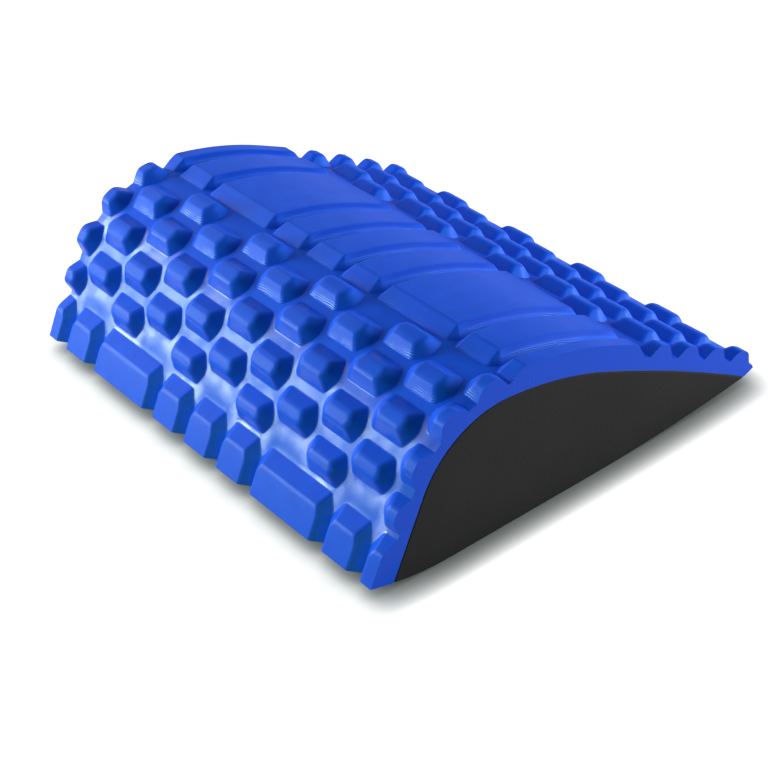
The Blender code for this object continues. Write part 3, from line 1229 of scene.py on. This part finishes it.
@dataclass
class FoamCore:
    """The black foam block, arched on top, with an underside that curls up to both ends."""

    arch: Arch = Arch()
    finish: ToolMarkedFoam = BLACK_FOAM
    width: float = 0.302
    top: float = -0.00025
    flat: Point = (-0.0868, 0.0078)
    curl_step: float = 0.0040
    edge_radius: float = 0.0006
    edge_steps: int = 2
    edge_angle: float = math.radians(40)
    sharp_angle: float = math.radians(50)

    def curl(self, start: float, end: Point) -> list[Point]:
        """Give an arc that leaves the flat underside and rises to an end.

        Args:
            start: Where it leaves the flat.
            end: Where it ends.

        Returns:
            Its points, from the flat outwards.
        """
        reach, rise = end[0] - start, end[1]
        radius = (reach * reach + rise * rise) / (2 * rise)
        count = math.ceil(abs(reach) / self.curl_step)
        runs = [reach * part / count for part in range(count + 1)]
        return [(start + run, radius - math.sqrt(radius * radius - run * run)) for run in runs]

    def build(self) -> bpy.types.Object:
        """Build the core.

        Returns:
            The finished piece.
        """
        arched = self.arch.outline(self.top)
        ends = (arched[0], arched[-1])
        front, rear = [self.curl(start, end) for start, end in zip(self.flat, ends)]
        outline = arched + rear[-2::-1] + front[:-1]
        piece = extruded("black_foam_core", outline, self.width, self.finish.material())
        bevel = piece.modifiers.new("edges", "BEVEL")
        bevel.width, bevel.segments = self.edge_radius, self.edge_steps
        bevel.limit_method, bevel.angle_limit = "ANGLE", self.edge_angle
        flatten_modifiers(piece, self.sharp_angle)
        return settle(piece, "foam_core")


@dataclass
class GlueLine:
    """The film of dried glue between core and cover, set back a little from the cut sides."""

    arch: Arch = Arch()
    finish: FoamFinish = GLUE
    width: float = 0.3012
    half_thickness: float = 0.00025
    sharp_angle: float = math.radians(30)

    def build(self) -> bpy.types.Object:
        """Build the film.

        Returns:
            The finished piece.
        """
        outline = self.arch.outline(self.half_thickness)
        outline += reversed(self.arch.outline(-self.half_thickness))
        piece = extruded("glue_line", outline, self.width, self.finish.material())
        flatten_modifiers(piece, self.sharp_angle)
        return settle(piece, "glue_film")


@dataclass(frozen=True)
class SoftBox:
    """One area light of the studio."""

    name: str
    direction: tuple[float, float, float]
    size: Point
    power: float
    color: Color
    distance: float = 1.6

    def build(self, aim: Vector) -> None:
        """Set the light up.

        Args:
            aim: The point that it faces.
        """
        data = bpy.data.lights.new(self.name, "AREA")
        data.shape = "RECTANGLE"
        data.size, data.size_y = self.size
        data.energy = self.power
        data.color = self.color
        light = shown(self.name, data)
        away = Vector(self.direction).normalized()
        light.location = aim + away * self.distance
        light.rotation_euler = (-away).to_track_quat("-Z", "Y").to_euler()


@dataclass
class Studio:
    """The floor, the light and the camera."""

    camera_place: tuple[float, float, float] = (-0.5177, -0.6543, 0.5684)
    azimuth: float = math.radians(-38.0)
    elevation: float = math.radians(34.9)
    roll: float = math.radians(-2.5)
    lens: float = 81.73
    sensor: float = 36.0
    clip: Point = (0.01, 100.0)
    floor_size: float = 30.0
    floor_color: Color = (0.20, 0.20, 0.20)
    floor_roughness: float = 0.9
    floor_specular: float = 0.1
    floor_lift: float = 0.97
    contact_reach: float = 0.017
    contact_depth: float = 3.0
    contact_lean: Color = (-0.38, 0.52, 0.76)
    ambient: float = 0.01
    aim: tuple[float, float, float] = (0.0, 0.0, 0.04)
    lights: tuple[SoftBox, ...] = (
        SoftBox("key_softbox", (-0.66, 0.74, 0.12), (1.0, 1.3), 45.0, (0.74, 0.98, 1.0)),
        SoftBox("back_softbox", (-0.05, 0.82, 0.57), (1.2, 0.8), 8.0, (0.90, 1.0, 1.0)),
        SoftBox("fill_softbox", (0.78, -0.58, 0.20), (1.6, 0.8), 40.0, (0.85, 0.93, 0.93)),
        SoftBox("side_softbox", (-0.85, -0.45, 0.20), (1.2, 0.8), 4.5, (0.10, 1.0, 0.30)),
        SoftBox("overhead_softbox", (-0.30, 0.25, 0.90), (1.4, 1.4), 1.3, (0.9, 1.0, 1.0)),
    )

    def build_camera(self) -> None:
        """Place the camera as the photograph's was."""
        data = bpy.data.cameras.new("camera")
        data.lens, data.sensor_width = self.lens, self.sensor
        data.clip_start, data.clip_end = self.clip
        camera = shown("camera", data)
        placed = Matrix.Translation(self.camera_place)
        for angle, axis in ((self.azimuth, "Z"), (math.pi / 2 - self.elevation, "X"),
                            (self.roll, "Z")):
            placed = placed @ Matrix.Rotation(angle, 4, axis)
        camera.matrix_world = placed
        bpy.context.scene.camera = camera

    def build_floor(self) -> None:
        """Lay the pale floor: it glows white to the camera and in reflections, its glow is dimmed near
        the object as a painted contact shadow, and its diffuse part keeps the cast shadow.
        """
        builder = bmesh.new()
        bmesh.ops.create_grid(builder, x_segments=1, y_segments=1, size=self.floor_size / 2)
        mesh = bpy.data.meshes.new("floor")
        builder.to_mesh(mesh)
        builder.free()
        material, graph, shader = new_material("pale_floor", {
            "Base Color": (*self.floor_color, 1.0), "Roughness": self.floor_roughness,
            "Specular IOR Level": self.floor_specular, "Emission Color": (1.0, 1.0, 1.0, 1.0)})
        # Painted contact shadow: the glow is dimmed by ambient occlusion leaned towards the key light,
        # so the shade gathers on the side away from it.
        lean = graph.vector(**dict(zip("XYZ", self.contact_lean)))
        contact = graph.add("ShaderNodeAmbientOcclusion", {"Distance": self.contact_reach,
                                                           "Normal": lean})
        open_share = graph.math("POWER", contact.outputs["AO"], self.contact_depth)
        lift = graph.math("MULTIPLY", open_share, self.floor_lift)
        strength = graph.math("MULTIPLY", self.seen_share(graph), lift)
        graph.feed(shader["Emission Strength"], strength)
        mesh.materials.append(material)
        floor = shown("floor", mesh)

    @staticmethod
    def seen_share(graph: Graph) -> Socket:
        """Tell the rays that show the backdrop to the camera from those that light the object.

        Args:
            graph: The backdrop's graph.

        Returns:
            The socket, which is 1 for rays seen straight or by reflection.
        """
        path = graph.add("ShaderNodeLightPath").outputs
        mirrored = graph.math("MAXIMUM", path["Is Camera Ray"], path["Is Glossy Ray"])
        return graph.math("MAXIMUM", mirrored, path["Is Transmission Ray"])

    def build_world(self) -> None:
        """Make a white surround that lights the object only gently."""
        world = bpy.data.worlds.new("studio")
        world.use_nodes = True
        graph = Graph(world.node_tree)
        background = world.node_tree.nodes["Background"].inputs
        background["Color"].default_value = (1.0, 1.0, 1.0, 1.0)
        strength = graph.math("MULTIPLY_ADD", self.seen_share(graph), 1.0 - self.ambient, self.ambient)
        graph.feed(background["Strength"], strength)
        bpy.context.scene.world = world

    def build(self) -> None:
        """Set up camera, floor, world and lights."""
        bpy.context.scene.view_settings.view_transform = "Standard"
        self.build_camera()
        self.build_floor()
        self.build_world()
        for light in self.lights:
            light.build(Vector(self.aim))


def main() -> None:
    """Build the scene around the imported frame."""
    logging.basicConfig(level=logging.INFO, format="%(name)s: %(message)s")
    for thing in list(bpy.data.objects):
        bpy.data.objects.remove(thing, do_unlink=True)
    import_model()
    Studio().build()
    cover = TreadCover().build()
    core = FoamCore().build()
    GlueLine().build()


if __name__ == "__main__":
    main()
